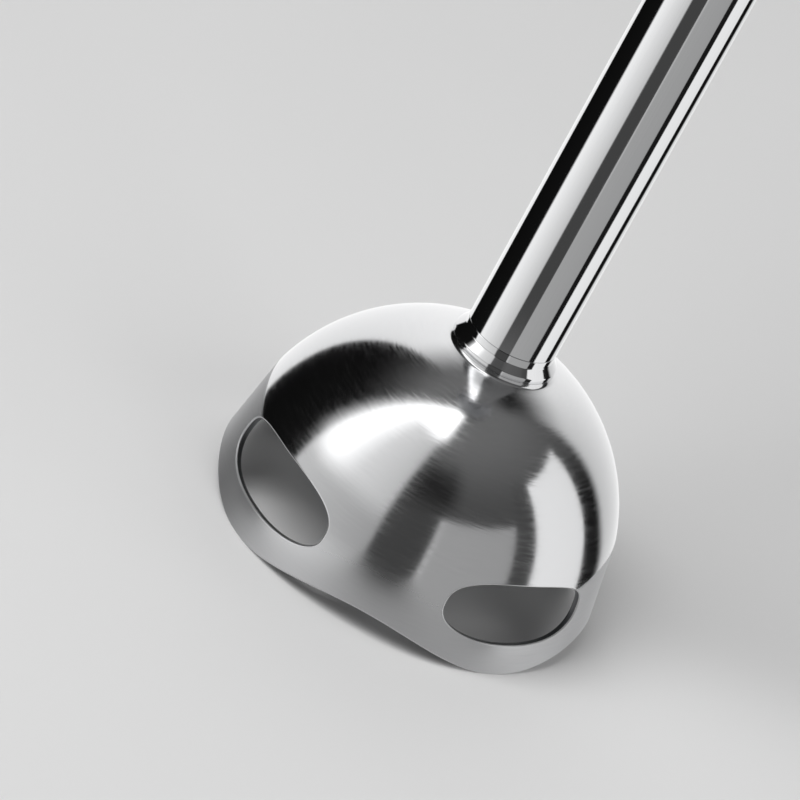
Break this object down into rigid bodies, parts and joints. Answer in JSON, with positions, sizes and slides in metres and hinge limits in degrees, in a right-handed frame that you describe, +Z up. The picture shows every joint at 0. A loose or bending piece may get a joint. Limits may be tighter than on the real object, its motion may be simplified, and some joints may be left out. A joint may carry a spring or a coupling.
{
  "type": "immersion blender",
  "caption": "Hand-held immersion blender: dome-shaped steel bell with side windows and wavy rim on a slim polished tube, under a gripped motor handle.",
  "frame": {"origin": "centre of the plane that the bell's rim stands on", "axes": "+Z up along the leg and the motor shaft, -Y towards the finger buttons, +X to the right of the front"},
  "size_m": [0.0678, 0.0678, 0.3832],
  "materials": {
    "satin_steel": "satin brushed stainless steel",
    "polished_steel": "mirror-polished stainless steel",
    "hard_steel": "ground steel",
    "bronze": "sintered bronze and brass",
    "copper": "varnished copper",
    "laminations": "stacked electrical sheet",
    "carbon": "pressed carbon",
    "case_plastic": "fine matt moulded plastic",
    "grey_plastic": "satin moulded plastic",
    "pale_nylon": "natural nylon",
    "rubber": "soft matt rubber",
    "circuit_green": "lacquered board"
  },
  "bodies": {
    "leg": {"bell_guard": "satin_steel", "leg_collar": "polished_steel", "leg_tube": "polished_steel", "bearing_housing": "hard_steel", "lower_bush": "bronze", "spindle_seal": "rubber", "seal_retainer": "hard_steel", "upper_bush": "bronze", "leg_head": "grey_plastic", "head_seal": "rubber"},
    "blade_shaft": {"drive_spindle": "hard_steel", "blade": "hard_steel", "blade_spacer": "hard_steel", "blade_nut": "hard_steel", "spindle_circlip": "hard_steel", "leg_coupler": "pale_nylon"},
    "motor_unit": {"collar_ring": "satin_steel", "socket_liner": "grey_plastic", "housing_front": "case_plastic", "housing_rear": "case_plastic", "soft_grip": "rubber", "button_frame": "satin_steel", "button_membrane": "rubber", "circuit_board": "circuit_green", "speed_switch": "case_plastic", "turbo_switch": "case_plastic", "latch_spring_left": "hard_steel", "latch_spring_right": "hard_steel", "case_screw_left": "hard_steel", "case_screw_right": "hard_steel", "top_cap": "satin_steel", "dial_potentiometer": "case_plastic", "cord_gland": "rubber", "lower_bracket": "hard_steel", "upper_bracket": "hard_steel", "lower_rubber_mount": "rubber", "upper_rubber_mount": "rubber", "lower_bearing": "hard_steel", "upper_bearing": "hard_steel", "motor_bolt_front": "hard_steel", "motor_bolt_rear": "hard_steel", "stator_core": "laminations", "field_coil_left": "copper", "field_coil_right": "copper", "brush_holder_left": "bronze", "brush_holder_right": "bronze", "brush_left": "carbon", "brush_right": "carbon"},
    "rotor": {"motor_shaft": "hard_steel", "armature_core": "laminations", "armature_winding": "copper", "commutator": "copper", "cooling_fan": "grey_plastic", "drive_coupler": "pale_nylon"},
    "dial": {"speed_dial": "grey_plastic", "dial_spindle": "hard_steel"},
    "speed_button": {"speed_button": "grey_plastic"},
    "turbo_button": {"turbo_button": "grey_plastic"},
    "release_button_left": {"release_button_left": "grey_plastic"},
    "release_button_right": {"release_button_right": "grey_plastic"}
  },
  "joints": [
    {"name": "leg_pull_off", "type": "slide", "parent": "leg", "child": "motor_unit", "axis": [0, 0, 1], "range_m": [0, 0.06], "deforming": ["latch_spring_left", "latch_spring_right"]},
    {"name": "rotor_spin", "type": "hinge", "parent": "motor_unit", "child": "rotor", "pos_m": [0, 0, 0.25], "axis": [0, 0, 1], "continuous": true},
    {"name": "blade_spin", "type": "hinge", "parent": "leg", "child": "blade_shaft", "pos_m": [0, 0, 0.1], "axis": [0, 0, 1], "continuous": true},
    {"name": "speed_button_press", "type": "slide", "parent": "motor_unit", "child": "speed_button", "axis": [0, 1, 0], "range_m": [0, 0.0022], "stiffness_N_per_m": 700, "springref_m": -0.001, "deforming": ["button_membrane"]},
    {"name": "turbo_button_press", "type": "slide", "parent": "motor_unit", "child": "turbo_button", "axis": [0, 1, 0], "range_m": [0, 0.0022], "stiffness_N_per_m": 700, "springref_m": -0.001, "deforming": ["button_membrane"]},
    {"name": "release_left_press", "type": "slide", "parent": "motor_unit", "child": "release_button_left", "axis": [1, 0, 0], "range_m": [0, 0.0018], "stiffness_N_per_m": 700, "springref_m": -0.001, "deforming": ["latch_spring_left"]},
    {"name": "release_right_press", "type": "slide", "parent": "motor_unit", "child": "release_button_right", "axis": [-1, 0, 0], "range_m": [0, 0.0018], "stiffness_N_per_m": 700, "springref_m": -0.001, "deforming": ["latch_spring_right"]},
    {"name": "speed_dial_turn", "type": "hinge", "parent": "motor_unit", "child": "dial", "pos_m": [0, 0, 0.376], "axis": [0, 0, 1], "range_deg": [0, 280]}
  ],
  "couplings": [
    {"joint": "blade_spin", "follows": "rotor_spin", "ratio": 1}
  ]
}
